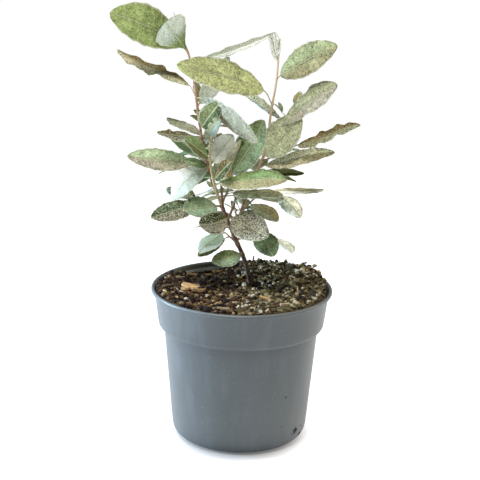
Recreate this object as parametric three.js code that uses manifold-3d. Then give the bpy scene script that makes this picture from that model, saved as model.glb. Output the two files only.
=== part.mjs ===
// A young silverberry shrub in a grey nursery pot. Millimetres, +Z up, the origin at the middle of the
// pot's flat underside, and the plant's best side towards -Y.
import * as THREE from "three";
import { mergeVertices } from "three/addons/utils/BufferGeometryUtils.js";
import Module from "manifold-3d";

const wasm = await Module();
wasm.setup();

// The pot
const POT = {
  height: 178,
  rimRadius: 105,
  lipDrop: 4.5, // how far the rolled lip reaches down
  collarTop: 101,
  collarFoot: 96.5,
  collarBottom: 134, // height of the collar's lower edge
  bodyTop: 89.8,
  bodyFoot: 79.6,
  footRadius: 66,
  footCorner: 14, // height where the rounded foot ends
  wall: 1.7,
  floor: 3,
  sides: 56,
};
const DRAIN = { count: 8, radius: 5.5, ring: 50 }; // round holes through the underside
const NOTCH = { bearings: [-26, -12, 154, 168], height: 9, radius: 2.6 }; // small ones in the rounded foot

// The soil, and its heaps and hollows: place, height and spread
const SOIL = { level: 175.5, lump: 1.2, clear: 0.35, pad: 9, sides: 44 };
const HEAPS = [
  [72, 35, 12, 26],
  [30, 85, 5, 24],
  [-45, 85, -11, 28],
  [-28, -55, -4, 16],
  [-75, -15, 2, 20],
];

// The trunk and every shoot. A shoot starts on another one, at a distance along it, and is walked in
// strides of [run, bearing from +X, rise above the level], in millimetres and degrees.
const TRUNK_FOOT = [11, 18, 174.3];
const ROOT_FLARE = { extra: 2.4, fade: 6 };
const SHOOTS = {
  trunk: { from: TRUNK_FOOT, thick: [2.9, 2.1], strides: [[34, 187, 75], [30, 195, 64], [41, 194, 68]] },
  left: {
    on: "trunk",
    at: 105,
    thick: [1.9, 1.0],
    strides: [[42, 158, 65], [67, 148, 78], [63, 165, 83], [33, 189, 64], [14, 193, 73]],
  },
  right: {
    on: "trunk",
    at: 64,
    thick: [2.0, 1.1],
    strides: [[30, 0, 77], [62, -22, 68], [25, -12, 70], [32, 0, 88], [44, 12, 80], [22, 0, 89]],
  },
  front: { on: "trunk", at: 104, thick: [1.7, 1.1], strides: [[33, 222, 66], [31, 228, 76], [14, 60, 85]] },
  middle: { on: "trunk", at: 104, thick: [1.2, 0.8], strides: [[34, -45, 65], [15, -66, 81]] },
  right_side: { on: "right", at: 97, thick: [1.0, 0.6], strides: [[11, -30, 19], [35, -19, 31]] },
  right_behind: { on: "right", at: 128, thick: [0.9, 0.6], strides: [[15, 40, 36], [28, 27, 36]] },
  low_right: { on: "trunk", at: 76, thick: [1.4, 0.7], strides: [[24, -20, 57], [45, -25, 46], [12, -27, -10]] },
  foot_right: { on: "trunk", at: 57, thick: [1.2, 0.7], strides: [[19, -36, 52], [14, -28, 23], [11, -29, -17]] },
  low_left: { on: "trunk", at: 103, thick: [1.2, 0.7], strides: [[15, 209, 11], [15, 198, 27]] },
  foot_left: { on: "trunk", at: 53, thick: [1.1, 0.7], strides: [[25, 220, 42]] },
  stub_left: { on: "trunk", at: 39, thick: [1.0, 0.8], strides: [[6, 250, 20]] },
  stub_front: { on: "trunk", at: 86, thick: [1.0, 0.8], strides: [[7, 270, 30]] },
  back_low: { on: "trunk", at: 62, thick: [1.2, 0.7], strides: [[20, 84, 38], [20, 96, 52]] },
  back_left: { on: "trunk", at: 100, thick: [1.6, 0.8], strides: [[28, 100, 58], [40, 118, 74], [30, 105, 68]] },
  back_right: { on: "trunk", at: 84, thick: [1.6, 0.8], strides: [[28, 55, 56], [42, 48, 74], [30, 65, 70]] },
};

// A bough is the bare lower length of a shoot, and the mass of leaves starts at its tip
const BOUGHS = { left: 40, right: 58, front: 12, back_left: 26, back_right: 26 };

// Leaves seen from the front, by the shoot that carries them. Each row has its place along the shoot,
// bearing, rise, length, breadth, roll, stalk, arch, sway and fold, in millimetres, degrees and shares
// of the length.
const LEAVES = {
  left: [
    [177, 209, 24, 95, 45, -80, 11, 0.02, 0.04, 12, 0.9, 1.2],
    [178, 229, 44, 47, 42, 71, 4, -0.04, 0, 10, 0.4, 2.2],
    [125, 161, 21, 95, 32, -7, 18, -0.02, 0, 4, 1.4],
    [164, 14, 19, 97, 30, -27, 5, -0.02, 0, 4],
    [114, 36, 52, 64, 27, -86, 6, 0.02, -0.06, 10],
    [119, 93, 35, 34, 20, 56, 4, 0.02, 0, 10],
    [89, -55, 42, 50, 25, 111, 5, 0.02, 0, 8, 0.4, 0.85],
    [126, -45, -22, 94, 34, -65, 13, 0, 0, 6],
    [75, -53, 41, 44, 24, 85, 4, 0.02, 0, 10],
    [217, 190, 76, 8, 4, 0, 1, 0.02, 0, 10],
    [42, 198, 8, 76, 28, -50, 22, 0.01, -0.02, 8],
    [81, 137, 13, 54, 22, -4, 5, 0, 0, 5],
    [78, 220, 12, 60, 22, -25, 5, 0, -0.02, 3],
  ],
  front: [
    [53, 61, 26, 52, 27, -125, 5, 0.02, 0, 10],
    [51, 190, -42, 52, 27, -50, 5, 0.23, 0, 8],
    [57, 144, 19, 56, 25, -12, 6, 0.01, 0, 8],
    [60, 234, 32, 50, 24, -62, 5, 0.02, 0, 10],
    [59, 232, 36, 32, 11, -39, 5, 0.02, 0, 10],
    [50, 196, 14, 28, 16, -30, 5, 0, 0, 8],
    [36, 128, -15, 38, 22, -44, 5, 0.02, 0, 10],
    [19, 128, -20, 38, 24, -10, 5, 0.02, 0, 10],
    [33, -54, 39, 42, 20, 78, 4, 0.02, 0, 10],
    [28, -38, 11, 96, 29, 40, 8, 0.02, 0, 8, 0.4, 1.2],
    [76, 190, 62, 14, 6, 0, 1, 0.05, 0, 10],
    [77, 60, 80, 10, 4, 0, 1, 0.05, 0, 10],
  ],
  middle: [
    [48, -62, 60, 42, 22, 0, 2, 0.02, 0, 10],
    [38, -36, 58, 76, 36, 92, 8, 0.02, 0.03, 8],
    [16, -27, 5, 64, 24, 14, 9, 0, 0, 4],
    [26, 115, 42, 38, 22, -10, 3, 0.02, 0, 10],
  ],
  right: [
    [162, 203, 17, 108, 38, -62, 20, 0.02, 0.02, 8, 0.9, 0.95],
    [191, -27, 30, 77, 35, 74, 6, 0.02, -0.01, 10],
    [128, -21, 38, 92, 32, 52, 8, 0.02, 0, 8, 0.4, 1.8],
    [76, 18, -1, 52, 25, 10, 8, 0.02, 0, 10],
    [96, -24, 49, 64, 40, 77, 8, 0.02, 0, 10],
    [86, -16, 15, 82, 25, 33, 10, 0.01, 0, 6],
    [210, 204, 68, 31, 15, -70, 2, 0.05, 0, 15],
    [213, 190, 79, 29, 12, -50, 2, 0.04, 0, 15],
    [213, -40, 84, 22, 7, 80, 1, 0.04, 0, 15],
  ],
  right_side: [[46, -32, 22.5, 82, 31, 25, 3, 0, 0, 4, 0.4, 0.85]],
  right_behind: [
    [42, 81, 32, 24, 12, -27, 9, 0.02, 0, 15],
    [23, 132, 16, 62, 24, 53, 7, 0.01, 0, 10],
  ],
  low_right: [
    [62, 21, -2, 66, 20, 6, 8, 0, 0, 3],
    [78, -59, -21, 44, 22, 14, 8, 0.03, 0, 8],
    [38, -46, -15, 44, 24, 12, 4, 0.03, 0, 8],
    [48, 18, -14, 44, 22, 5, 6, 0.02, 0, 8],
    [10, -4, 18, 34, 20, -40, 5, 0.02, 0, 10],
    [30, -30, -30, 26, 18, 0, 4, 0.02, 0, 10],
  ],
  foot_right: [
    [32, -68, -22, 44, 28, 14, 10, 0.03, 0, 8],
    [43, 41, -36, 42, 30, -9, 12, 0.02, 0, 10],
  ],
  low_left: [
    [3, 228, 6, 54, 29, -45, 4, 0.01, 0, 5, 1.2],
    [28, 134, 4, 48, 22, -22, 9, 0.01, 0, 8],
    [21, -143, -7, 62, 25, -42, 12, 0, 0, 5],
  ],
  foot_left: [
    [25, -123, -14, 48, 21, -22, 6, 0.02, 0, 8],
    [16, 206, -27, 38, 14, -50, 7, 0.02, 0, 10],
  ],
  stub_left: [[5, 226, 0, 46, 21, -45, 1, 0.01, -0.02, 6]],
  stub_front: [
    [6, 241, 6, 60, 26, -60, 2, 0.01, -0.05, 6],
    [6, -50, -6, 64, 34, 48, 14, 0.03, 0, 8, 0.9],
  ],
};

// The leaves that fill the crown grow by one rule: two turns to five leaves, with seeded chance, and a
// leaf that would touch what is there is left off. Each row has the shoot, the stretch of it that
// bears them, how many buds it has, the length of a grown leaf, how far to the sides it may turn from
// straight back, and its rise.
const FILLING = {
  left: [43, 108, 44, 50, 75, -14],
  right: [62, 124, 36, 50, 75, -14],
  back_left: [28, 98, 70, 54, 110, -14],
  back_right: [28, 98, 70, 54, 110, -14],
  middle: [6, 30, 8, 44, 60, -10],
  foot_left: [4, 24, 6, 40, 60, -10],
  back_low: [8, 40, 26, 44, 110, -14],
};
const RULE = { turn: 144, broad: 0.42, stalk: 6, seed: 28, clear: 2.5 };
const LEAF_SHARE = 1 / 80; // thickness of a leaf over its length
const LEAF_STATIONS = [0, 0.08, 0.25, 0.45, 0.65, 0.83, 0.95, 1];

const rad = THREE.MathUtils.degToRad;
const V = (x, y, z) => new THREE.Vector3(x, y, z);
const UP = V(0, 0, 1);

function heading(bearing, rise) {
  const b = rad(bearing);
  const r = rad(rise);
  return V(Math.cos(b) * Math.cos(r), Math.sin(b) * Math.cos(r), Math.sin(r));
}

// A seeded chance, the same on every machine
function chance(seed) {
  let state = seed;
  return () => {
    state = (state * 1664525 + 1013904223) % 4294967296;
    return state / 4294967296;
  };
}

// A shoot's line, one point for every millimetre, with the heading easing from stride to stride
function walk(start, strides) {
  const ways = strides.map(([, bearing, rise]) => heading(bearing, rise));
  const line = [start.clone()];
  strides.forEach(([run], i) => {
    for (let k = 0; k < run; k++) {
      const f = (k + 0.5) / run;
      const other = ways[f < 0.5 ? Math.max(i - 1, 0) : Math.min(i + 1, ways.length - 1)];
      const way = ways[i].clone().lerp(other, Math.abs(f - 0.5)).normalize();
      line.push(line[line.length - 1].clone().add(way));
    }
  });
  return line;
}

const LINES = {};
for (const [name, shoot] of Object.entries(SHOOTS)) {
  const start = shoot.from ? V(...shoot.from) : LINES[shoot.on][shoot.at];
  LINES[name] = walk(start, shoot.strides);
}

function wayAt(line, i) {
  const a = line[Math.max(i - 1, 0)];
  const b = line[Math.min(i + 1, line.length - 1)];
  return b.clone().sub(a).normalize();
}

// Boolean joins and cuts
function solid(geometry) {
  geometry.deleteAttribute("normal");
  geometry.deleteAttribute("uv");
  const merged = mergeVertices(geometry, 1e-4);
  const vertProperties = new Float32Array(merged.attributes.position.array);
  const triVerts = new Uint32Array(merged.index.array);
  return new wasm.Manifold(new wasm.Mesh({ numProp: 3, vertProperties, triVerts }));
}

function largest(shape) {
  return shape.decompose().reduce((a, b) => (b.volume() > a.volume() ? b : a));
}

function geometryOf(shape) {
  const mesh = shape.getMesh();
  const geometry = new THREE.BufferGeometry();
  geometry.setAttribute("position", new THREE.BufferAttribute(mesh.vertProperties, 3));
  geometry.setIndex(new THREE.BufferAttribute(mesh.triVerts, 1));
  return geometry.toNonIndexed();
}

// A cylinder whose rings are laid along a path: place(share along, angle round, share of the radius)
function bent(sides, rings, place) {
  const geometry = new THREE.CylinderGeometry(1, 1, 1, sides, rings);
  const spots = geometry.attributes.position;
  for (let i = 0; i < spots.count; i++) {
    const [x, y, z] = [spots.getX(i), spots.getY(i), spots.getZ(i)];
    const spot = place(y + 0.5, Math.atan2(x, z), Math.min(1, Math.hypot(x, z)));
    spots.setXYZ(i, spot.x, spot.y, spot.z);
  }
  return solid(geometry);
}

// A stretch of a shoot as a tapering limb, from one distance along it to another
function limb(name, from, to, grow = 0, sides = name === "trunk" ? 10 : 6) {
  const line = LINES[name];
  const [thick, thin] = SHOOTS[name].thick;
  const rings = Math.max(2, Math.round((to - from) / 12));
  return bent(sides, rings, (share, angle, out) => {
    const s = from + (to - from) * share;
    const i = Math.min(Math.floor(s), line.length - 2);
    const spot = line[i].clone().lerp(line[i + 1], s - i);
    const way = wayAt(line, Math.round(s));
    let radius = thick + (thin - thick) * (s / (line.length - 1)) + grow;
    if (name === "trunk") radius += ROOT_FLARE.extra * Math.exp(-s / ROOT_FLARE.fade);
    const side = V(0, 1, 0).cross(way).normalize();
    const front = way.clone().cross(side);
    spot.addScaledVector(side, radius * out * Math.cos(angle));
    spot.addScaledVector(front, radius * out * Math.sin(angle));
    if (name === "trunk" && share < 0.001) spot.z = TRUNK_FOOT[2] - (grow ? 2 : 0);
    return spot;
  });
}

// One leaf's frame: where its blade starts, its way, its face and its side
function leafFrame(name, [at, bearing, rise, long, broad, roll, stalk, arch, sway, fold, lean = 0.4, belly = 1]) {
  const line = LINES[name];
  const root = line[at];
  const way = heading(bearing, rise);
  const stem = wayAt(line, at);
  const stalkWay = stem.multiplyScalar(lean).addScaledVector(way, 0.9).normalize();
  const base = root.clone().addScaledVector(stalkWay, stalk);
  const level = UP.clone().addScaledVector(way, -way.z).normalize();
  const across = way.clone().cross(level);
  const face = level.multiplyScalar(Math.cos(rad(roll))).addScaledVector(across, Math.sin(rad(roll)));
  const side = way.clone().cross(face);
  return { root, base, way, face, side, long, broad, arch, sway, fold: rad(fold), belly };
}

const outline = (t, belly) => Math.sin(Math.PI * t ** belly) ** 0.62;

function bladeSpot(leaf, t, s, lift) {
  const half = (leaf.broad / 2) * outline(t, leaf.belly);
  const bow = leaf.long * 4 * t * (1 - t);
  return leaf.base
    .clone()
    .addScaledVector(leaf.way, leaf.long * t)
    .addScaledVector(leaf.face, leaf.arch * bow + Math.abs(s) * half * Math.sin(leaf.fold) + lift)
    .addScaledVector(leaf.side, leaf.sway * bow + s * half * Math.cos(leaf.fold));
}

// A leaf with its stalk: a four-sided tube, round at the stalk and drawn out flat along the blade
function leafSolid(leaf) {
  const thick = leaf.long * LEAF_SHARE;
  const stations = LEAF_STATIONS.length;
  return bent(4, stations, (share, angle, out) => {
    const step = Math.round(share * stations);
    const s = Math.sin(angle) * out;
    const lift = Math.cos(angle) * out * thick * 0.5;
    if (step === 0) {
      return leaf.root.clone().addScaledVector(leaf.side, s * 0.6).addScaledVector(leaf.face, lift);
    }
    const t = LEAF_STATIONS[step - 1];
    if (t > 0.05 && t < 0.97) return bladeSpot(leaf, t, s, lift);
    const spot = bladeSpot(leaf, t, 0, lift);
    return spot.addScaledVector(leaf.side, s * (t > 0.5 ? 0.3 : 0.6));
  });
}

// Spots that stand for a leaf where another one might touch it
function feelers(leaf) {
  const spots = [];
  for (const t of [0.1, 0.25, 0.4, 0.55, 0.7, 0.85, 1]) {
    for (const s of t < 0.8 ? [-0.9, -0.45, 0, 0.45, 0.9] : [-0.5, 0.5]) spots.push(bladeSpot(leaf, t, s, 0));
  }
  return spots;
}

function touches(spots, others, clear) {
  return spots.some((a) => others.some((b) => a.distanceTo(b) < clear));
}

// The plant's leaves by shoot: the seen ones first, and then those that the rule adds
function grow() {
  const leaves = {};
  const taken = [];
  for (const line of Object.values(LINES)) taken.push(...line.filter((spot, i) => i % 3 === 0));
  for (const [name, rows] of Object.entries(LEAVES)) {
    leaves[name] = rows.map((row) => leafFrame(name, row));
    leaves[name].forEach((leaf) => taken.push(...feelers(leaf)));
  }
  Object.entries(FILLING).forEach(([name, [from, to, buds, long, reach, droop]], n) => {
    const next = chance(RULE.seed + n);
    leaves[name] ??= [];
    for (let k = 0; k < buds; k++) {
      const at = Math.round(from + ((to - from) * k) / (buds - 1));
      const size = long * (0.8 + 0.35 * next());
      const turn = ((RULE.turn * k + 30 * (next() - 0.5) + 180) % 360) - 180;
      const [rise, roll] = [droop + 24 * (next() - 0.5), 30 * (next() - 0.5)];
      if (Math.abs(turn) > reach) continue;
      const row = [at, 90 + turn, rise, size, size * RULE.broad, roll, RULE.stalk, 0.04, 0, 15];
      const leaf = leafFrame(name, row);
      const spots = feelers(leaf);
      if (touches(spots, taken, RULE.clear + size * 0.04)) continue;
      taken.push(...spots);
      leaves[name].push(leaf);
    }
  });
  return leaves;
}

const LEAF_SETS = grow();

// Masses, each with the shoots that it holds; the first one is its stem
const MASSES = {
  foliage_left: ["left"],
  foliage_front: ["front"],
  foliage_middle: ["middle"],
  foliage_right: ["right", "right_side", "right_behind"],
  foliage_low_right: ["low_right"],
  foliage_foot_right: ["foot_right"],
  foliage_low_left: ["low_left"],
  foliage_foot_left: ["foot_left"],
  foliage_stub_left: ["stub_left"],
  foliage_stub_front: ["stub_front"],
  foliage_back_low: ["back_low"],
  foliage_back_left: ["back_left"],
  foliage_back_right: ["back_right"],
};
const GAP = 0.3;

function massSolid(shoots) {
  let mass = null;
  shoots.forEach((name, n) => {
    const start = n === 0 && BOUGHS[name] ? BOUGHS[name] + GAP : 0;
    const twig = limb(name, start, LINES[name].length - 1, 0, 5);
    mass = mass ? mass.add(twig) : twig;
    for (const leaf of LEAF_SETS[name] ?? []) mass = mass.add(leafSolid(leaf));
  });
  return mass;
}

// A mass or a bough is cut clear of the trunk and of the boughs, each drawn a gap thicker
function cutClear(shape, skip) {
  let cut = shape.subtract(limb("trunk", 0, LINES.trunk.length - 1, GAP));
  for (const [name, length] of Object.entries(BOUGHS)) {
    if (name !== skip) cut = cut.subtract(limb(name, 0, length, GAP));
  }
  return largest(cut);
}

const LOOKS = {
  pot: { color: 0x6c7478, roughness: 0.55 },
  soil: { color: 0x33271f, roughness: 1 },
  bark: { color: 0x6b4436, roughness: 0.8 },
  leaf: { color: 0x7f9777, roughness: 0.6 },
};

function mesh(name, look, shape) {
  const made = new THREE.Mesh(geometryOf(shape), new THREE.MeshStandardMaterial({ metalness: 0, ...LOOKS[look] }));
  made.name = name;
  return made;
}

// The pot's profile from the middle of the underside up to the lip and back down inside
function potProfile() {
  const { height, rimRadius, lipDrop, collarTop, collarFoot, collarBottom } = POT;
  const { bodyTop, bodyFoot, footRadius, footCorner, wall, floor } = POT;
  const outside = [
    [footRadius, 0], [footRadius + 6, 1.2], [footRadius + 10.5, 4.5], [bodyFoot - 0.8, 9], [bodyFoot, footCorner],
    [bodyTop, collarBottom - 3], [bodyTop + 1.2, collarBottom - 0.6], [collarFoot - 2.5, collarBottom],
    [collarFoot - 0.4, collarBottom + 1.8], [collarFoot + 0.3, collarBottom + 5], [collarTop, height - lipDrop - 1.5],
    [rimRadius - 1.6, height - lipDrop], [rimRadius - 0.2, height - lipDrop + 1], [rimRadius, height - 1.6],
    [rimRadius - 1, height - 0.3], [rimRadius - 2.4, height],
  ];
  const inside = [
    [collarTop - 0.4, height - 2.5], [collarTop - wall, height - 7], [collarFoot - wall, collarBottom + 5],
    [bodyTop - wall + 1.5, collarBottom + 1], [bodyTop - wall, collarBottom - 3], [bodyFoot - wall, footCorner],
    [bodyFoot - 3.4, 9], [footRadius + 7, floor + 2.4], [footRadius, floor],
  ];
  return { outside, inside };
}

function turned(profile, sides) {
  const points = profile.map(([r, z]) => new THREE.Vector2(r, z));
  return new THREE.LatheGeometry(points, sides).rotateX(Math.PI / 2);
}

function potSolid() {
  const { outside, inside } = potProfile();
  let pot = solid(turned([[0, 0], ...outside, ...inside, [0, POT.floor]], POT.sides));
  for (let k = 0; k < DRAIN.count; k++) {
    const way = heading((360 / DRAIN.count) * (k + 0.5), 0);
    const hole = new THREE.CylinderGeometry(DRAIN.radius, DRAIN.radius, 12, 16).rotateX(Math.PI / 2);
    hole.translate(way.x * DRAIN.ring, way.y * DRAIN.ring, 0);
    pot = pot.subtract(solid(hole));
  }
  for (const bearing of NOTCH.bearings) {
    const hole = new THREE.CylinderGeometry(NOTCH.radius, NOTCH.radius, 16, 12).rotateZ(Math.PI / 2);
    hole.rotateY(rad(20)).translate(POT.bodyFoot, 0, NOTCH.height).rotateZ(rad(bearing));
    pot = pot.subtract(solid(hole));
  }
  return pot;
}

// The soil's top: lumps, heaps and hollows, and a flat pad under the trunk
function soilHeight(x, y) {
  const lumps = Math.sin(x * 0.13 + 1) * Math.cos(y * 0.16) + 0.6 * Math.sin(x * 0.31 - y * 0.27);
  let open = SOIL.level + SOIL.lump * lumps;
  for (const [hx, hy, height, spread] of HEAPS) {
    open += height * Math.exp(-((x - hx) ** 2 + (y - hy) ** 2) / (2 * spread ** 2));
  }
  const [fx, fy, fz] = TRUNK_FOOT;
  const away = Math.hypot(x - fx, y - fy);
  const share = THREE.MathUtils.smoothstep(away, SOIL.pad, SOIL.pad * 2.5);
  return open * share + (fz - GAP) * (1 - share);
}

// The soil's edge follows the collar's leaning wall down where the top lies low
function soilSolid() {
  const [[wallRadius, wallTop], [footRadius, wallFoot], ...below] = potProfile().inside.slice(1);
  const lean = (wallRadius - footRadius) / (wallTop - wallFoot);
  const side = [[footRadius, wallFoot], ...below].reverse().map(([r, z]) => [r - SOIL.clear, z + SOIL.clear]);
  const rings = [1, 0.93, 0.84, 0.74, 0.63, 0.52, 0.41, 0.3, 0.2, 0.1].map((share) => {
    return [(wallRadius - SOIL.clear) * share, SOIL.level];
  });
  const geometry = turned([[0, POT.floor + SOIL.clear], ...side, ...rings, [0, SOIL.level]], SOIL.sides);
  const spots = geometry.attributes.position;
  for (let i = 0; i < spots.count; i++) {
    const [x, y, z] = [spots.getX(i), spots.getY(i), spots.getZ(i)];
    if (Math.abs(z - SOIL.level) > 0.01) continue;
    const height = soilHeight(x, y);
    const atWall = Math.hypot(x, y) > wallRadius - 1;
    const keep = atWall ? 1 - Math.max(0, wallTop - height) * (lean / wallRadius) : 1;
    spots.setXYZ(i, x * keep, y * keep, height);
  }
  return solid(geometry);
}

const plant = new THREE.Group();
plant.add(mesh("pot", "pot", potSolid()));
plant.add(mesh("soil", "soil", soilSolid()));
plant.add(mesh("trunk", "bark", limb("trunk", 0, LINES.trunk.length - 1)));
for (const [name, length] of Object.entries(BOUGHS)) {
  plant.add(mesh(`bough_${name}`, "bark", cutClear(limb(name, 0, length), name)));
}
for (const [name, shoots] of Object.entries(MASSES)) {
  plant.add(mesh(name, "leaf", cutClear(massSolid(shoots))));
}
export default plant;
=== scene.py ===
# %% [markdown]
# # A young silverberry in a grey nursery pot
# This lesson dresses a packed construction model of a small evergreen shrub. The model gives the true
# sizes and places: a pot, its soil, a forked trunk, five boughs and thirteen masses of leaves. Here each
# of them gets its looks: moulded plastic, crumbly soil, bark with relief, and leaves with silvery scales.
# Plans are worked out in millimetres and turned into metres when a mesh is made.

import math

import bmesh
import bpy
import numpy as np
from mathutils import Matrix, Vector, noise


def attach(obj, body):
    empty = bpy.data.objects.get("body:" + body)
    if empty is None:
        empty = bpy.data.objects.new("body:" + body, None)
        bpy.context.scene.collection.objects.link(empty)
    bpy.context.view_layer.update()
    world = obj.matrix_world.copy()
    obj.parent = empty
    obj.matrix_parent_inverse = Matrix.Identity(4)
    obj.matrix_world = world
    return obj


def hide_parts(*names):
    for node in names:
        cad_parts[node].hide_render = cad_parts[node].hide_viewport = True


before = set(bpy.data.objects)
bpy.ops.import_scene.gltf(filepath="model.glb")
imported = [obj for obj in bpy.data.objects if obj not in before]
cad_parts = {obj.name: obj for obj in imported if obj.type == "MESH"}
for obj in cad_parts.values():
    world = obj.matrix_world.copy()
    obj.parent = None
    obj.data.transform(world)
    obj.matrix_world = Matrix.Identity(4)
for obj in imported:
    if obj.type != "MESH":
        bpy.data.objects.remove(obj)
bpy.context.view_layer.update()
MM = 0.001
print("packed nodes:", len(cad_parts))

# %% [markdown]
# Shader maths reads best as plain sums. A wire holds a socket, and an operator between wires adds the
# Math node that does the sum. Colours go through Mix nodes, because a Math node would turn them grey.
# One method adds any other node from its type, its settings and the values of its sockets.


# %% Wires for the materials
class Wire:
    def __init__(self, tree, socket=None):
        self.tree = tree
        self.socket = socket

    def node(self, kind, settings, values, out=0):
        made = self.tree.nodes.new(kind)
        for name, value in settings.items():
            setattr(made, name, value)
        for name, value in values.items():
            if isinstance(value, Wire):
                self.tree.links.new(value.socket, made.inputs[name])
            else:
                made.inputs[name].default_value = value
        return Wire(self.tree, made.outputs[out])

    def math(self, operation, *values):
        return self.node("ShaderNodeMath", {"operation": operation}, dict(enumerate(values)))

    def __add__(self, other):
        return self.math("ADD", self, other)

    __radd__ = __add__

    def __sub__(self, other):
        return self.math("SUBTRACT", self, other)

    def __rsub__(self, other):
        return self.math("SUBTRACT", other, self)

    def __mul__(self, other):
        return self.math("MULTIPLY", self, other)

    __rmul__ = __mul__

    def __abs__(self):
        return self.math("ABSOLUTE", self)

    def mix(self, share, one, other, blend="MIX"):
        settings = {"data_type": "RGBA", "blend_type": blend}
        return self.node("ShaderNodeMix", settings, {0: share, 6: one, 7: other}, 2)

    def step(self, low, high):
        """A smooth rise from 0 at low to 1 at high."""
        values = {"Value": self, "From Min": low, "From Max": high}
        return self.node("ShaderNodeMapRange", {"interpolation_type": "SMOOTHSTEP"}, values)

    def step_mm(self, low, high):
        """The same for a place or a distance, with both ends in millimetres."""
        return self.step(low * MM, high * MM)

    def attribute(self, name, out=0):
        return self.node("ShaderNodeAttribute", {"attribute_name": name}, {}, out)

    def place(self):
        return self.node("ShaderNodeTexCoord", {}, {}, 3)

    def mapped(self, **values):
        return self.node("ShaderNodeMapping", {}, {"Vector": self.place(), **values})

    def axis(self, number):
        return self.node("ShaderNodeSeparateXYZ", {}, {"Vector": self}, number)

    def length(self):
        return self.node("ShaderNodeVectorMath", {"operation": "LENGTH"}, {"Vector": self}, 1)

    def noise(self, scale, detail, at=None):
        values = {"Vector": at or self.place(), "Scale": scale, "Detail": detail}
        return self.node("ShaderNodeTexNoise", {}, values)

    def dots(self, scale):
        return self.node("ShaderNodeTexVoronoi", {}, {"Vector": self.place(), "Scale": scale})

    def bump(self, height, strength, distance):
        return self.node("ShaderNodeBump", {}, {"Height": height, "Strength": strength, "Distance": distance})


def rgb(red, green, blue):
    """A screen colour of 0 to 255 as the linear colour that shaders use."""
    shares = [channel / 255 for channel in (red, green, blue)]
    return tuple(s / 12.92 if s < 0.04045 else ((s + 0.055) / 1.055) ** 2.4 for s in shares) + (1.0,)


def material(name, paint):
    """A material whose Principled shader gets the values and wires that paint(wire) returns."""
    made = bpy.data.materials.new(name)
    made.use_nodes = True
    tree = made.node_tree
    shader = tree.nodes["Principled BSDF"]
    for socket, value in paint(Wire(tree)).items():
        if isinstance(value, Wire):
            tree.links.new(value.socket, shader.inputs[socket])
        else:
            shader.inputs[socket].default_value = value
    return made


# %% [markdown]
# Most of the plant is one small shape repeated with changes: leaves, stalks, crumbs, chips. A template is
# modelled once with bmesh operators and read back as arrays. Each copy is then only new positions for
# the template's points, and all copies of one kind are joined into a single mesh, which stays quick.
# Operators leave faces in an order that changes from run to run, and a Boolean's result changes with it,
# so a template keeps its faces sorted. The pot and the soil are made in the same way, as single copies.


# %% Templates and joined meshes
class Template:
    def __init__(self, bm):
        bm.verts.index_update()
        faces = sorted(([v.index for v in face.verts] for face in bm.faces), key=sorted)
        self.spots = np.array([v.co for v in bm.verts], float)
        self.loops = np.array([corner for face in faces for corner in face])
        self.sizes = np.array([len(face) for face in faces])
        bm.free()

    def tinted(self, shade):
        """One shade for every point of a copy."""
        return np.tile(shade, (len(self.spots), 1))


def joined(name, template, copies, look, fields, uv=None, smooth=True):
    """One piece of many copies: each copy is the template's points in their own places, in millimetres."""
    count = len(copies)
    size = len(template.spots)
    mesh = bpy.data.meshes.new(name)
    loops = (template.loops[None, :] + size * np.arange(count)[:, None]).ravel()
    sizes = np.tile(template.sizes, count)
    mesh.vertices.add(size * count)
    mesh.vertices.foreach_set("co", (np.concatenate(copies) * MM).astype(np.float32).ravel())
    mesh.loops.add(len(loops))
    mesh.loops.foreach_set("vertex_index", loops.astype(np.int32))
    mesh.polygons.add(len(sizes))
    mesh.polygons.foreach_set("loop_start", (np.cumsum(sizes) - sizes).astype(np.int32))
    for field, values in fields.items():
        layer = mesh.attributes.new(field, "FLOAT_COLOR", "POINT")
        layer.data.foreach_set("color", np.concatenate(values).astype(np.float32).ravel())
    mesh.update(calc_edges=True)
    if uv is not None:
        layer = mesh.uv_layers.new(name="blade")
        layer.data.foreach_set("uv", np.tile(uv, (count, 1))[loops].astype(np.float32).ravel())
    mesh.polygons.foreach_set("use_smooth", np.full(len(sizes), smooth))
    mesh.materials.append(look)
    piece = bpy.data.objects.new(name, mesh)
    bpy.context.collection.objects.link(piece)
    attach(piece, "root")
    print(name, "copies:", count, "faces:", len(sizes))
    return piece


def finished(name, bm, look):
    """A bmesh in millimetres as a finished piece of the plant."""
    bmesh.ops.remove_doubles(bm, verts=bm.verts[:], dist=0.001)
    bmesh.ops.recalc_face_normals(bm, faces=bm.faces[:])
    template = Template(bm)
    return joined(name, template, [template.spots], look, {})


def ball(level=1):
    bm = bmesh.new()
    bmesh.ops.create_icosphere(bm, subdivisions=level, radius=1)
    return Template(bm)


def tube(sides, rings):
    """A closed cylinder from z = 0 to z = 1, cut across into rings."""
    bm = bmesh.new()
    bmesh.ops.create_cone(bm, cap_ends=True, segments=sides, radius1=1, radius2=1, depth=1)
    bmesh.ops.translate(bm, vec=(0, 0, 0.5), verts=bm.verts[:])
    upright = [e for e in bm.edges if abs(e.verts[0].co.z - e.verts[1].co.z) > 0.5]
    bmesh.ops.subdivide_edges(bm, edges=upright, cuts=rings - 1, use_grid_fill=True)
    return Template(bm)


def turned(profile, steps):
    """A bmesh of a profile of (radius, height) pairs turned a full round."""
    bm = bmesh.new()
    verts = [bm.verts.new((r, 0, z)) for r, z in profile]
    edges = [bm.edges.new(pair) for pair in zip(verts, verts[1:])]
    bmesh.ops.spin(
        bm, geom=verts + edges, cent=(0, 0, 0), axis=(0, 0, 1), angle=math.tau, steps=steps, use_merge=True
    )
    bmesh.ops.remove_doubles(bm, verts=bm.verts[:], dist=0.001)
    return bm


# %% Seeded chance
LUCK_FACTOR, LUCK_SHIFT, LUCK_ROUND = 1664525, 1013904223, 2**32


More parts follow.
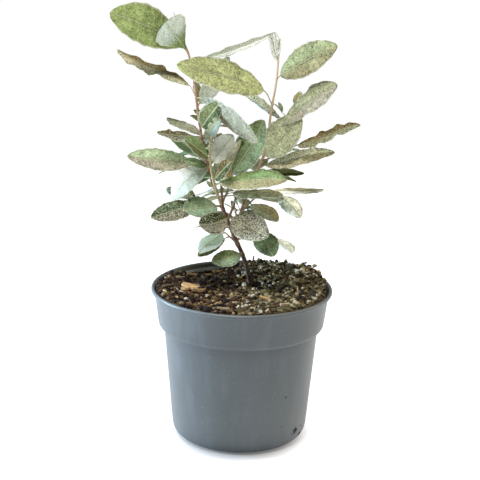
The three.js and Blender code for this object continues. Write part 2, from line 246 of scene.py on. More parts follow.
def chance(seed):
    """The source's seeded chance, the same on every machine."""
    state = seed
    while True:
        state = (state * LUCK_FACTOR + LUCK_SHIFT) % LUCK_ROUND
        yield state / LUCK_ROUND


print("first draw of seed 1:", next(chance(1)))

# %% [markdown]
# A nursery pot is moulded in grey plastic: thin walls, a rolled lip, a collar that stiffens the rim, and
# a foot with drain holes. Half of its section, turned a full round, makes all of it. Used plastic is
# never one grey. Faint streaks run up it, dust clings to it, its right side is scuffed, and a small nearly
# black spot sits low on its front right by the foot. The wall just below the collar is darkened with
# painted shade, the inner wall near the top is painted paler as painted light, and the top of the lip
# carries a painted highlight.

# %% The pot's section
POT = dict(height=178, rim=105, lip=4.5, collar_top=101, collar_foot=96.5, collar_bottom=134)
POT.update(body_top=89.8, body_foot=79.6, foot=66, corner=14, wall=1.7, floor=3)
POT_STEPS = 160


def pot_sides():
    """Half of the section: the outside from the middle up, then the inside from the lip down."""
    h, rim, lip = POT["height"], POT["rim"], POT["lip"]
    top, foot, bottom = POT["collar_top"], POT["collar_foot"], POT["collar_bottom"]
    body, base, wall = POT["body_top"], POT["body_foot"], POT["wall"]
    flat, corner, floor = POT["foot"], POT["corner"], POT["floor"]
    outside = [
        (0, 0), (flat - 1.5, 0), (flat, 0), (flat + 3, 0.35), (flat + 6, 1.2), (flat + 8.5, 2.6),
        (flat + 10.5, 4.5), (base - 1.9, 6.6), (base - 0.8, 9), (base, corner), (body, bottom - 3),
        (body + 0.25, bottom - 1.4), (body + 1.2, bottom - 0.5), (body + 2.4, bottom - 0.1),
        (foot - 2.5, bottom), (foot - 1.1, bottom + 0.5), (foot - 0.2, bottom + 2), (foot + 0.3, bottom + 5),
        (top, h - lip - 1.5), (top + 0.5, h - lip - 0.5), (rim - 1.8, h - lip), (rim - 0.5, h - lip + 0.6),
        (rim, h - lip + 1.7), (rim, h - 1.8), (rim - 0.6, h - 0.6), (rim - 1.6, h), (rim - 2.6, h),
    ]
    inside = [
        (top + 0.6, h - 0.8), (top - 0.4, h - 2.5), (top - wall, h - 7), (foot - wall, bottom + 5),
        (body - wall + 1.5, bottom + 1), (body - wall, bottom - 3), (base - wall, corner),
        (base - 3.4, 9), (flat + 7, floor + 2.4), (flat, floor), (0, floor),
    ]
    return outside, inside


# %% Grey plastic
GREYS = (rgb(61, 69, 72), rgb(69, 77, 80))
STREAK_GREY = rgb(104, 112, 118)
DUST_GREY = rgb(150, 148, 142)
FLECK_GREY = rgb(186, 182, 172)
COLLAR_PAINTED_SHADE = rgb(46, 52, 58)
INNER_PAINTED_LIGHT = rgb(196, 206, 216)
LIP_PAINTED_HIGHLIGHT = rgb(160, 166, 168)
SCUFF_AND_SPOT_DARK = rgb(20, 20, 20)
DARK_SPOT_AT = (65.5, -46, 18)
RAGGED = 0.02


def scuffs_and_dark_spot(wire, streak, cloud):
    """1 on the scuffs at the right and on a small nearly black spot by the foot, 0 elsewhere."""
    scuff = (1 - wire.dots(55).step(0.07, 0.13)) * (streak + cloud).step(0.93, 1.0)
    right = wire.place().axis(0).step_mm(30, 70)
    near = wire.mapped(Location=[-size * MM for size in DARK_SPOT_AT]).length()
    dark_spot = 1 - (near + RAGGED * (wire.noise(300, 3) - 0.5)).step_mm(2.5, 4.5)
    return dark_spot.math("MAXIMUM", dark_spot, scuff * right)


def plastic(wire):
    cloud = wire.noise(9, 4)
    streak = wire.noise(60, 3, wire.mapped(Scale=(1, 1, 0.25)))
    dust = wire.noise(420, 2).step(0.62, 0.78)
    fleck = 1 - wire.dots(70).step(0.02, 0.05)
    colour = wire.mix(cloud.step(0.3, 0.7), *GREYS)
    colour = wire.mix(streak.step(0.45, 0.8) * 0.25, colour, STREAK_GREY)
    colour = wire.mix(dust * 0.25, colour, DUST_GREY)
    colour = wire.mix(fleck * cloud.step(0.5, 0.7) * 0.8, colour, FLECK_GREY)
    top, bottom, wall = POT["height"], POT["collar_bottom"], POT["collar_top"] - POT["wall"]
    tall = wire.place().axis(2)
    # Painted shade: a darker band on the wall just below the collar, where the collar's shadow falls.
    shade = tall.step_mm(bottom - 17, bottom - 0.5) * (1 - tall.step_mm(bottom - 0.5, bottom + 2))
    colour = wire.mix(shade * 0.5, colour, COLLAR_PAINTED_SHADE)
    # Painted light: the inner wall near the top is mixed towards a pale blue grey.
    outward = wire.mapped(Scale=(1, 1, 0)).length()
    inner = (1 - outward.step_mm(wall + 0.1, wall + 0.6)) * tall.step_mm(top - 13, top - 10)
    colour = wire.mix(inner * 0.9, colour, INNER_PAINTED_LIGHT)
    # Painted highlight: the top of the lip is mixed towards a pale grey.
    colour = wire.mix(tall.step_mm(top - 2.5, top - 0.5) * 0.6, colour, LIP_PAINTED_HIGHLIGHT)
    scuffed_or_dark = scuffs_and_dark_spot(wire, streak, cloud)
    return {
        "Base Color": wire.mix(scuffed_or_dark, colour, SCUFF_AND_SPOT_DARK),
        "Roughness": 0.37 + 0.14 * streak + 0.5 * scuffed_or_dark,
        "Specular IOR Level": 0.6,
        "Coat Weight": 0.15 * (1 - scuffed_or_dark),
        "Coat Roughness": 0.45,
        "Normal": wire.bump(streak + 0.4 * dust, 0.12, 0.0004),
    }


PLASTIC = material("grey_nursery_plastic", plastic)
outside, inside = pot_sides()
pot = finished("pot_walls", turned(outside + inside, POT_STEPS), PLASTIC)

# %% [markdown]
# The drain holes in the floor and the small holes low in the wall are plain round holes. A Boolean
# modifier with a round cutter cuts each of them, and the modifiers are then applied, so that the mesh is
# final and the cutters can go.

# %% Drain holes in the foot
DRAINS = dict(count=8, radius=5.5, ring=50, depth=12)
NOTCHES = dict(bearings=(-26, -12, 154, 168), radius=2.6, height=9, depth=16, tip=110)
CUTTER_SIDES = 32


def round_cutter(name, radius, depth, turn):
    bm = bmesh.new()
    bmesh.ops.create_cone(
        bm, cap_ends=True, segments=CUTTER_SIDES, radius1=radius, radius2=radius, depth=depth
    )
    bmesh.ops.transform(bm, matrix=turn, verts=bm.verts[:])
    bmesh.ops.scale(bm, vec=Vector((MM, MM, MM)), verts=bm.verts[:])
    mesh = bpy.data.meshes.new(name)
    bm.to_mesh(mesh)
    bm.free()
    cutter = bpy.data.objects.new(name, mesh)
    bpy.context.collection.objects.link(cutter)
    return cutter


cutters = []
for k in range(DRAINS["count"]):
    spin = Matrix.Rotation(math.tau * (k + 0.5) / DRAINS["count"], 4, "Z")
    spin = spin @ Matrix.Translation((DRAINS["ring"], 0, 0))
    cutters.append(round_cutter("drain", DRAINS["radius"], DRAINS["depth"], spin))
for bearing in NOTCHES["bearings"]:
    spin = Matrix.Rotation(math.radians(bearing), 4, "Z")
    spin = spin @ Matrix.Translation((POT["body_foot"], 0, NOTCHES["height"]))
    tip = Matrix.Rotation(math.radians(NOTCHES["tip"]), 4, "Y")
    cutters.append(round_cutter("notch", NOTCHES["radius"], NOTCHES["depth"], spin @ tip))
for cutter in cutters:
    cut = pot.modifiers.new("hole", "BOOLEAN")
    cut.operation = "DIFFERENCE"
    cut.object = cutter
cut_mesh = bpy.data.meshes.new_from_object(pot.evaluated_get(bpy.context.evaluated_depsgraph_get()))
pot.modifiers.clear()
pot.data = cut_mesh
for cutter in cutters:
    bpy.data.objects.remove(cutter)
print("pot faces after the holes:", len(pot.data.polygons))
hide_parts("pot")

# %% [markdown]
# Potting soil is dark composted bark with pale mineral grains, wood chips and fine roots. The ground is a
# turned section whose top follows the source's heights, with finer lumps from noise and a small rise
# towards the rim. What lies on it is strewn over it later, each thing where its own spot of soil is.

# %% The soil's heights
TRUNK_FOOT = (11, 18, 174.3)
SOIL_LEVEL = 175.5
SOIL_LUMP = 1.2
SOIL_CLEAR = 0.35
SOIL_RADIUS = POT["collar_top"] - POT["wall"] - SOIL_CLEAR
TRUNK_GAP = 0.3
PAD = 9
PAD_EDGE = PAD * 2.5
HEAPS = [  # x, y, height, spread
    (72, 35, 12, 26), (30, 85, 5, 24), (-45, 85, -11, 28), (-28, -55, -4, 16), (-75, -15, 2, 20),
]
COARSE_LUMP, FINE_LUMP = 2.6, 1.7
RIM_RISE = dict(height=2.0, start=86, end=96)


def smoothstep(value, low, high):
    share = np.clip((value - low) / (high - low), 0, 1)
    return share * share * (3 - 2 * share)


def soil_height(x, y):
    """The source's height of the soil: lumps and heaps, and a flat pad round the trunk's foot."""
    lumps = math.sin(x * 0.13 + 1) * math.cos(y * 0.16) + 0.6 * math.sin(x * 0.31 - y * 0.27)
    open_soil = SOIL_LEVEL + SOIL_LUMP * lumps
    for heap_x, heap_y, height, spread in HEAPS:
        open_soil += height * math.exp(-((x - heap_x) ** 2 + (y - heap_y) ** 2) / (2 * spread**2))
    share = smoothstep(math.hypot(x - TRUNK_FOOT[0], y - TRUNK_FOOT[1]), PAD, PAD_EDGE)
    return open_soil * share + (TRUNK_FOOT[2] - TRUNK_GAP) * (1 - share)


def crumble(x, y):
    """The soil's finer lumps and its rise towards the rim, in millimetres."""
    coarse = noise.noise(Vector((x, y, 0)) * 0.11)
    fine = noise.noise(Vector((x, y, 40)) * 0.35)
    rim = smoothstep(math.hypot(x, y), RIM_RISE["start"], RIM_RISE["end"])
    return COARSE_LUMP * coarse + FINE_LUMP * fine + RIM_RISE["height"] * rim


print("soil by the trunk, mm:", round(soil_height(*TRUNK_FOOT[:2]), 2))

# %% The ground
GROUND_STEPS = 210
GROUND_RINGS = 66
RIM_EASE = 6


def ground(wire):
    patch = wire.noise(38, 4)
    grain = wire.noise(420, 4)
    moss = wire.place().axis(0).step_mm(-10, 70)
    colour = wire.mix(grain.step(0.35, 0.7), rgb(40, 28, 22), rgb(132, 110, 82))
    colour = wire.mix(moss * patch.step(0.35, 0.65) * 0.55, colour, rgb(116, 108, 68))
    return {"Base Color": colour, "Roughness": 0.95, "Normal": wire.bump(grain, 0.8, 0.001)}


SOIL_LOOK = material("dark_potting_soil", ground)
(wall_radius, wall_top), (wall_base, wall_foot) = inside[2:4]
wall_lean = (wall_radius - wall_base) / (wall_top - wall_foot)
soil_sides = [(max(r - SOIL_CLEAR, 0), z + SOIL_CLEAR) for r, z in reversed(inside[3:])]
soil_top = [(SOIL_RADIUS * share, SOIL_LEVEL) for share in np.linspace(1, 0, GROUND_RINGS)]
bm = turned(soil_sides + soil_top, GROUND_STEPS)
for vert in bm.verts:
    if abs(vert.co.z - SOIL_LEVEL) < 0.01:
        x, y = vert.co.x, vert.co.y
        inner = smoothstep(SOIL_RADIUS - math.hypot(x, y), 0, RIM_EASE)
        vert.co.z = soil_height(x, y) + crumble(x, y) * inner
        if inner == 0:
            keep = 1 - max(0, wall_top - vert.co.z) * wall_lean / wall_radius
            vert.co.x, vert.co.y = x * keep, y * keep
soil = finished("soil_ground", bm, SOIL_LOOK)
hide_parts("soil")

# %% [markdown]
# Loose soil is thousands of crumbs of bark. Each is one rough ball with its points pushed in or out by
# chance, so no two are alike and few faces are needed. The bark is redder at the left and greener at the
# right, so a crumb is dealt from one of two palettes by where it lies. Large clumps gather at the left,
# and pale mineral grains at the right.

# %% Crumbs and pale grains strewn over the ground
CLEAR_OF_TRUNK = 7
TIPPING = 1.2


def strewn(seed, count, spread, lean=0.0):
    """Seeded spots on the soil, fewer on the side that lean points away from: (spot, turn matrix, chance)."""
    luck = chance(seed)
    spots = []
    while len(spots) < count:
        reach = SOIL_RADIUS * spread * math.sqrt(next(luck))
        bearing = math.tau * next(luck)
        x, y = reach * math.cos(bearing), reach * math.sin(bearing)
        if x * lean < 0 and next(luck) < abs(lean):
            continue
        if math.hypot(x - TRUNK_FOOT[0], y - TRUNK_FOOT[1]) < CLEAR_OF_TRUNK:
            continue
        turn = Matrix.Rotation(math.tau * next(luck), 3, "Z")
        tip_x = Matrix.Rotation(TIPPING * (next(luck) - 0.5), 3, "X")
        tip_y = Matrix.Rotation(TIPPING * (next(luck) - 0.5), 3, "Y")
        spot = np.array([x, y, soil_height(x, y) + crumble(x, y)])
        spots.append((spot, np.array(turn @ (tip_x @ tip_y)), luck))
    return spots


def dealt(palette, luck, template):
    """One colour of a palette, a little lighter or darker, for every point of a copy."""
    colour = np.array(palette[int(next(luck) * len(palette)) % len(palette)])
    colour[:3] *= 0.75 + 0.5 * next(luck)
    return template.tinted(colour)


def matte(name, rough, scale, depth):
    """A dull material in its copies' own tints, darker where fine noise of this scale is high."""

    def paint(wire):
        grain = wire.noise(scale, 3)
        colour = wire.mix(grain.step(0.35, 0.7) * 0.35, wire.attribute("tint"), rgb(36, 27, 20))
        return {"Base Color": colour, "Roughness": rough, "Normal": wire.bump(grain, 0.6, depth)}

    return material(name, paint)


CRUMB = ball()
GRAIN_BOX = (1.0, 0.8, 0.62)
SIDE_BLEND = 45
LEFT_CRUMBS = [
    rgb(60, 38, 32), rgb(92, 66, 50), rgb(34, 20, 20), rgb(134, 106, 74), rgb(42, 27, 30), rgb(164, 138, 98),
]
RIGHT_CRUMBS = [
    rgb(70, 58, 40), rgb(128, 118, 80), rgb(44, 32, 24),
    rgb(156, 144, 102), rgb(104, 96, 64), rgb(184, 168, 128),
]
PALE_COLOURS = [rgb(236, 226, 200), rgb(248, 240, 220), rgb(214, 196, 160)]


def lumps(seed, count, spread, low, high, palettes, lean=0.0, power=2.5, raised=0.25):
    """Rough little balls from low to high in size, mostly small where power is large: (copies, tints)."""
    copies = []
    tints = []
    for spot, turn, luck in strewn(seed, count, spread, lean):
        size = low + (high - low) * next(luck) ** power
        palette = palettes[1 if next(luck) < smoothstep(spot[0], -SIDE_BLEND, SIDE_BLEND) else 0]
        rough = np.array([0.75 + 0.5 * next(luck) for _ in CRUMB.spots])[:, None]
        shape = CRUMB.spots * rough * np.array(GRAIN_BOX) * size
        copies.append(shape @ turn.T + spot + np.array([0, 0, size * raised]))
        tints.append(dealt(palette, luck, CRUMB))
    return copies, tints


both_sides = (LEFT_CRUMBS, RIGHT_CRUMBS)
copies, tints = lumps(seed=11, count=5200, spread=0.985, low=0.7, high=3.8, palettes=both_sides)
dark_sides = (LEFT_CRUMBS[:3], RIGHT_CRUMBS[:3])
clumps, clump_tints = lumps(
    seed=13, count=70, spread=0.93, low=4, high=8, palettes=dark_sides, lean=-0.75, power=1.0, raised=0.1
)
crumb_look = matte("bark_crumbs", rough=0.95, scale=500, depth=0.0005)
crumb_fields = {"tint": tints + clump_tints}
crumbs = joined("soil_crumbs", CRUMB, copies + clumps, crumb_look, crumb_fields, smooth=False)
pale_sides = (PALE_COLOURS, PALE_COLOURS)
copies, tints = lumps(
    seed=23, count=380, spread=0.97, low=0.7, high=3.6, palettes=pale_sides, lean=0.75, power=2.4, raised=0.6
)
grain_look = matte("pale_grain", rough=0.85, scale=900, depth=0.0002)
grains = joined("pale_grains", CRUMB, copies, grain_look, {"tint": tints}, smooth=False)


# %% [markdown]
# Wood chips are flat splinters. The template is a box cut across into four; each copy is stretched, narrowed
# and bent towards its ends and laid on the soil. Three large ones and a long sliver lie at the left, where
# the eye finds them first, and a few more are placed one by one. The rest are dealt out by chance. Fine roots
# are bent threads that come out of the soil and go back into it.

# %% Chips
CHIP_COLOURS = [rgb(250, 208, 152), rgb(160, 122, 86), rgb(255, 232, 190), rgb(110, 80, 56)]
FRESH_WOOD = (CHIP_COLOURS[0], CHIP_COLOURS[2])
CHIP_LIFT, LARGE_LIFT = 0.8, 3.2
LARGE_CHIPS = [  # x, y, bearing, length, breadth, thickness
    (-58, -12, -20, 23, 12, 3),
    (-50, -20, 30, 17, 9, 3),
    (-65, -22, 70, 13, 9, 2.5),
    (-50, 66, 27, 36, 6, 3),
    (-30, 84, 38, 15, 5, 2.5),
    (-20, -78, 12, 14, 5, 2),
    (48, -66, 40, 13, 5, 2.5),
    (26, -40, -15, 12, 4, 2),
]


def chip_template():
    bm = bmesh.new()
    bmesh.ops.create_cube(bm, size=2)
    long_edges = [e for e in bm.edges if abs(e.verts[0].co.x - e.verts[1].co.x) > 1]
    bmesh.ops.subdivide_edges(bm, edges=long_edges, cuts=3, use_grid_fill=True)
    return Template(bm)


CHIP = chip_template()


def chip(spot, turn, size, bend):
    """The template at one size, narrowed at its ends, bent, turned and laid at a spot."""
    shape = CHIP.spots.copy()
    shape[:, 1] *= 1 - 0.45 * shape[:, 0] ** 2
    shape[:, 2] += bend * shape[:, 0] ** 2
    return (shape * np.array(size) * 0.5) @ turn.T + spot


copies, tints = [], []
for spot, turn, luck in strewn(seed=31, count=230, spread=0.97):
    length, breadth = 3 + 9 * next(luck) ** 2, 1.2 + 2.4 * next(luck)
    thickness, bend = 0.7 + 0.8 * next(luck), 0.6 * (next(luck) - 0.5)
    copies.append(chip(spot + np.array([0, 0, CHIP_LIFT]), turn, (length, breadth, thickness), bend))
    tints.append(dealt(CHIP_COLOURS, luck, CHIP))
luck = chance(37)
for x, y, bearing, length, breadth, thickness in LARGE_CHIPS:
    turn = np.array(Matrix.Rotation(math.radians(bearing), 3, "Z") @ Matrix.Rotation(0.15, 3, "Y"))
    spot = np.array([x, y, soil_height(x, y) + LARGE_LIFT])
    copies.append(chip(spot, turn, (length, breadth, thickness), 0.5))
    tints.append(dealt(FRESH_WOOD, luck, CHIP))
chip_look = matte("weathered_wood", rough=0.8, scale=260, depth=0.0004)
chips = joined("wood_chips", CHIP, copies, chip_look, {"tint": tints}, smooth=False)

# %% Fine roots
ROOT = tube(3, 9)
ROOT_COLOURS = [rgb(150, 112, 80), rgb(186, 158, 120), rgb(88, 60, 42)]


def thread(start, bearing, length, rise, curl, radius):
    """A fine root as a bent tube: it leaves the ground, arches and comes back to it."""
    share = ROOT.spots[:, 2]
    way = bearing + curl * share
    sideways = radius * ROOT.spots[:, 0]
    x = start[0] + length * share * np.cos(way) - sideways * np.sin(way)
    y = start[1] + length * share * np.sin(way) + sideways * np.cos(way)
    z = start[2] + rise * 4 * share * (1 - share) + radius * ROOT.spots[:, 1]
    return np.stack([x, y, z], 1)


copies, tints = [], []
for spot, turn, luck in strewn(seed=41, count=150, spread=0.9):
    length, curl = 6 + 18 * next(luck) ** 2, 2.4 * (next(luck) - 0.5)
    rise, radius = 0.6 + 2.4 * next(luck), 0.22 + 0.25 * next(luck)
    copies.append(thread(spot, math.tau * next(luck), length, rise, curl, radius))
    tints.append(dealt(ROOT_COLOURS, luck, ROOT))
root_look = matte("dry_root", rough=0.8, scale=600, depth=0.0002)
roots = joined("fine_roots", ROOT, copies, root_look, {"tint": tints})

# %% [markdown]
# The plant grows from a plan. A shoot starts on another one and is walked in strides of a run, a bearing
# and a rise, and every leaf has its place along a shoot and its own bearing and shape. These are the
# source's own numbers, so what is seen here stands where the solids are.

# %% Shoots
# Each row: the shoot it starts on and where, its radius at foot and tip, and its strides.
SHOOTS = {
    "trunk": (None, 0, (2.9, 2.1), [(34, 187, 75), (30, 195, 64), (41, 194, 68)]),
    "left": (
        "trunk", 105, (1.9, 1.0),
        [(42, 158, 65), (67, 148, 78), (63, 165, 83), (33, 189, 64), (14, 193, 73)],
    ),
    "right": (
        "trunk", 64, (2.0, 1.1),
        [(30, 0, 77), (62, -22, 68), (25, -12, 70), (32, 0, 88), (44, 12, 80), (22, 0, 89)],
    ),
    "front": ("trunk", 104, (1.7, 1.1), [(33, 222, 66), (31, 228, 76), (14, 60, 85)]),
    "middle": ("trunk", 104, (1.2, 0.8), [(34, -45, 65), (15, -66, 81)]),
    "right_side": ("right", 97, (1.0, 0.6), [(11, -30, 19), (35, -19, 31)]),
    "right_behind": ("right", 128, (0.9, 0.6), [(15, 40, 36), (28, 27, 36)]),
    "low_right": ("trunk", 76, (1.4, 0.7), [(24, -20, 57), (45, -25, 46), (12, -27, -10)]),
    "foot_right": ("trunk", 57, (1.2, 0.7), [(19, -36, 52), (14, -28, 23), (11, -29, -17)]),
    "low_left": ("trunk", 103, (1.2, 0.7), [(15, 209, 11), (15, 198, 27)]),
    "foot_left": ("trunk", 53, (1.1, 0.7), [(25, 220, 42)]),
    "stub_left": ("trunk", 39, (1.0, 0.8), [(6, 250, 20)]),
    "stub_front": ("trunk", 86, (1.0, 0.8), [(7, 270, 30)]),
    "back_low": ("trunk", 62, (1.2, 0.7), [(20, 84, 38), (20, 96, 52)]),
    "back_left": ("trunk", 100, (1.6, 0.8), [(28, 100, 58), (40, 118, 74), (30, 105, 68)]),
    "back_right": ("trunk", 84, (1.6, 0.8), [(28, 55, 56), (42, 48, 74), (30, 65, 70)]),
}
ROOT_FLARE = 2.4
FLARE_FADE = 6


def unit(vector):
    return vector / np.linalg.norm(vector)


def heading(bearing, rise):
    b, r = math.radians(bearing), math.radians(rise)
    return np.array([math.cos(b) * math.cos(r), math.sin(b) * math.cos(r), math.sin(r)])


def walk(start, strides):
    """A shoot's line, one point for every millimetre, easing from stride to stride."""
    ways = [heading(bearing, rise) for _, bearing, rise in strides]
    line = [np.array(start, float)]
    for i, (run, _, _) in enumerate(strides):
        for k in range(run):
            f = (k + 0.5) / run
            other = ways[max(i - 1, 0) if f < 0.5 else min(i + 1, len(ways) - 1)]
            line.append(line[-1] + unit(ways[i] + (other - ways[i]) * abs(f - 0.5)))
    return np.array(line)


LINES = {}
for name, (on, at, _, strides) in SHOOTS.items():
    LINES[name] = walk(LINES[on][at] if on else TRUNK_FOOT, strides)
print("shoots:", len(LINES), "length in all, mm:", sum(len(line) - 1 for line in LINES.values()))


def way_at(line, i):
    return unit(line[min(i + 1, len(line) - 1)] - line[max(i - 1, 0)])


# %% [markdown]
# Silverberry leaves are leathery. Their upper side is dull green under a bloom of silver scales, the
# underside is silvery with tan or brown specks, and young ones are nearly white. A look is two shades by
# name. With a slash between them the first is for the half above the midrib and the second for the half
# below it, and with > the first is for the tip and the second for the base. How speckled, mottled and
# wavy a leaf is follows from its shades.

# %% Looks of leaves
SHADES = {
    "grass": rgb(128, 142, 88), "leaf": rgb(114, 131, 84), "fresh": rgb(160, 174, 140),
    "moss": rgb(106, 119, 82), "dark": rgb(64, 71, 38), "deep": rgb(121, 139, 108),
    "teal": rgb(144, 166, 140), "sage": rgb(149, 152, 120), "lime": rgb(162, 166, 116),
    "olive": rgb(100, 102, 63), "umber": rgb(111, 97, 60), "ash": rgb(127, 123, 105),
    "grey": rgb(177, 182, 163), "pale": rgb(207, 207, 184), "tan": rgb(168, 160, 130),
    "frost": rgb(198, 208, 192), "ice": rgb(205, 227, 221), "silver": rgb(220, 224, 214),
    "white": rgb(243, 247, 240), "pine": rgb(83, 98, 70), "stone": rgb(157, 152, 133),
    "straw": rgb(151, 141, 103), "khaki": rgb(135, 132, 100), "cream": rgb(252, 246, 216),
    "dove": rgb(138, 136, 118), "herb": rgb(134, 141, 106), "fog": rgb(150, 158, 146),
}
print("shades of leaves:", len(SHADES))

# %% Leaves that the eye sees from the front
# Each row: look, place on the shoot, bearing, rise, length, breadth, roll, stalk, arch, sway and fold, and
# for some leaves how far the stalk leans along the stem and where the blade is broadest.
LEAVES = {
    "left": [
        ("grass/grass", 177, 209, 24, 95, 45, -80, 11, 0.02, 0.04, 12, 0.9, 1.2),
        ("frost>grass", 178, 229, 44, 47, 42, 71, 4, -0.04, 0, 10, 0.4, 2.2),
        ("umber/tan", 125, 161, 21, 95, 32, -7, 18, -0.02, 0, 4, 1.4),
        ("grey/white", 164, 14, 19, 97, 30, -27, 5, -0.02, 0, 4),
        ("grey/silver", 114, 36, 52, 64, 27, -86, 6, 0.02, -0.06, 10),
        ("sage/khaki", 119, 93, 35, 34, 20, 56, 4, 0.02, 0, 10),
        ("olive/dark", 89, -55, 42, 50, 25, 111, 5, 0.02, 0, 8, 0.4, 0.85),
        ("dove/dove", 126, -45, -22, 94, 34, -65, 13, 0, 0, 6),
        ("khaki/fog", 75, -53, 41, 44, 24, 85, 4, 0.02, 0, 10),
        ("umber/olive", 217, 190, 76, 8, 4, 0, 1, 0.02, 0, 10),
        ("fresh/stone", 42, 198, 8, 76, 28, -50, 22, 0.01, -0.02, 8),
        ("dove/dove", 81, 137, 13, 54, 22, -4, 5, 0, 0, 5),
        ("umber/ash", 78, 220, 12, 60, 22, -25, 5, 0, -0.02, 3),
    ],
    "front": [
        ("white/white", 53, 61, 26, 52, 27, -125, 5, 0.02, 0, 10),
        ("silver/frost", 51, 190, -42, 52, 27, -50, 5, 0.23, 0, 8),
        ("frost/deep", 57, 144, 19, 56, 25, -12, 6, 0.01, 0, 8),
        ("leaf/olive", 60, 234, 32, 50, 24, -62, 5, 0.02, 0, 10),
        ("lime/lime", 59, 232, 36, 32, 11, -39, 5, 0.02, 0, 10),
        ("pine/deep", 50, 196, 14, 28, 16, -30, 5, 0, 0, 8),
        ("dark/dark", 36, 128, -15, 38, 22, -44, 5, 0.02, 0, 10),
        ("white/white", 19, 128, -20, 38, 24, -10, 5, 0.02, 0, 10),
        ("umber/dark", 33, -54, 39, 42, 20, 78, 4, 0.02, 0, 10),
        ("leaf/straw", 28, -38, 11, 96, 29, 40, 8, 0.02, 0, 8, 0.4, 1.2),
        ("tan/tan", 76, 190, 62, 14, 6, 0, 1, 0.05, 0, 10),
        ("tan/tan", 77, 60, 80, 10, 4, 0, 1, 0.05, 0, 10),
    ],
    "middle": [
        ("dark/stone", 48, -62, 60, 42, 22, 0, 2, 0.02, 0, 10),
        ("moss/deep", 38, -36, 58, 76, 36, 92, 8, 0.02, 0.03, 8),
        ("khaki/sage", 16, -27, 5, 64, 24, 14, 9, 0, 0, 4),
        ("umber/fresh", 26, 115, 42, 38, 22, -10, 3, 0.02, 0, 10),
    ],
    "right": [
        ("lime/lime", 162, 203, 17, 108, 38, -62, 20, 0.02, 0.02, 8, 0.9, 0.95),
        ("herb/khaki", 191, -27, 30, 77, 35, 74, 6, 0.02, -0.01, 10),
        ("sage/stone", 128, -21, 38, 92, 32, 52, 8, 0.02, 0, 8, 0.4, 1.8),
        ("herb/dark", 76, 18, -1, 52, 25, 10, 8, 0.02, 0, 10),
        ("sage/sage", 96, -24, 49, 64, 40, 77, 8, 0.02, 0, 10),
        ("pale/tan", 86, -16, 15, 82, 25, 33, 10, 0.01, 0, 6),
        ("silver/white", 210, 204, 68, 31, 15, -70, 2, 0.05, 0, 15),
        ("white/white", 213, 190, 79, 29, 12, -50, 2, 0.04, 0, 15),
        ("tan/silver", 213, -40, 84, 22, 7, 80, 1, 0.04, 0, 15),
    ],
    "right_side": [("umber/khaki", 46, -32, 22.5, 82, 31, 25, 3, 0, 0, 4, 0.4, 0.85)],
    "right_behind": [
        ("lime/straw", 42, 81, 32, 24, 12, -27, 9, 0.02, 0, 15),
        ("straw/ash", 23, 132, 16, 62, 24, 53, 7, 0.01, 0, 10),
    ],
    "low_right": [
        ("cream/white", 62, 21, -2, 66, 20, 6, 8, 0, 0, 3),
        ("pale/frost", 78, -59, -21, 44, 22, 14, 8, 0.03, 0, 8),
        ("tan/grey", 38, -46, -15, 44, 24, 12, 4, 0.03, 0, 8),
        ("frost/frost", 48, 18, -14, 44, 22, 5, 6, 0.02, 0, 8),
        ("dark/umber", 10, -4, 18, 34, 20, -40, 5, 0.02, 0, 10),
        ("deep/dark", 30, -30, -30, 26, 18, 0, 4, 0.02, 0, 10),
    ],
    "foot_right": [
        ("pine/deep", 32, -68, -22, 44, 28, 14, 10, 0.03, 0, 8),
        ("cream/cream", 43, 41, -36, 42, 30, -9, 12, 0.02, 0, 10),
    ],
    "low_left": [
        ("deep/teal", 3, 228, 6, 54, 29, -45, 4, 0.01, 0, 5, 1.2),
        ("olive/ash", 28, 134, 4, 48, 22, -22, 9, 0.01, 0, 8),
        ("pine/ash", 21, -143, -7, 62, 25, -42, 12, 0, 0, 5),
    ],
    "foot_left": [
        ("ice/ice", 25, -123, -14, 48, 21, -22, 6, 0.02, 0, 8),
        ("umber/dark", 16, 206, -27, 38, 14, -50, 7, 0.02, 0, 10),
    ],
    "stub_left": [("moss/teal", 5, 226, 0, 46, 21, -45, 1, 0.01, -0.02, 6)],
    "stub_front": [
        ("dark/ash", 6, 241, 6, 60, 26, -60, 2, 0.01, -0.05, 6),
        ("ash/ash", 6, -50, -6, 64, 34, 48, 14, 0.03, 0, 8, 0.9),
    ],
}

# %% [markdown]
# The leaves that fill the crown follow one rule: each bud turns two fifths of a round past the one below,
# and a leaf that would touch what is already there is left off. It is the source's rule with the source's
# seeds. A leaf is kept as a frame of three directions, in which any spot of its blade can be worked out.

# %% Growing the leaves
# Each row: first and last place, buds, length, reach to either side of straight back, and droop.
FILLING = {
    "left": (43, 108, 44, 50, 75, -14),
    "right": (62, 124, 36, 50, 75, -14),
    "back_left": (28, 98, 70, 54, 110, -14),
    "back_right": (28, 98, 70, 54, 110, -14),
    "middle": (6, 30, 8, 44, 60, -10),
    "foot_left": (4, 24, 6, 40, 60, -10),
    "back_low": (8, 40, 26, 44, 110, -14),
}
RULE = dict(seed=28, turn=144, wobble=30, tilt=24, roll=30, clear=2.5)
RULE.update(broad=0.42, stalk=6, arch=0.04, fold=15)
RULE_LOOKS = ["moss/olive", "sage/moss", "olive/olive", "deep/moss", "ash/olive"]


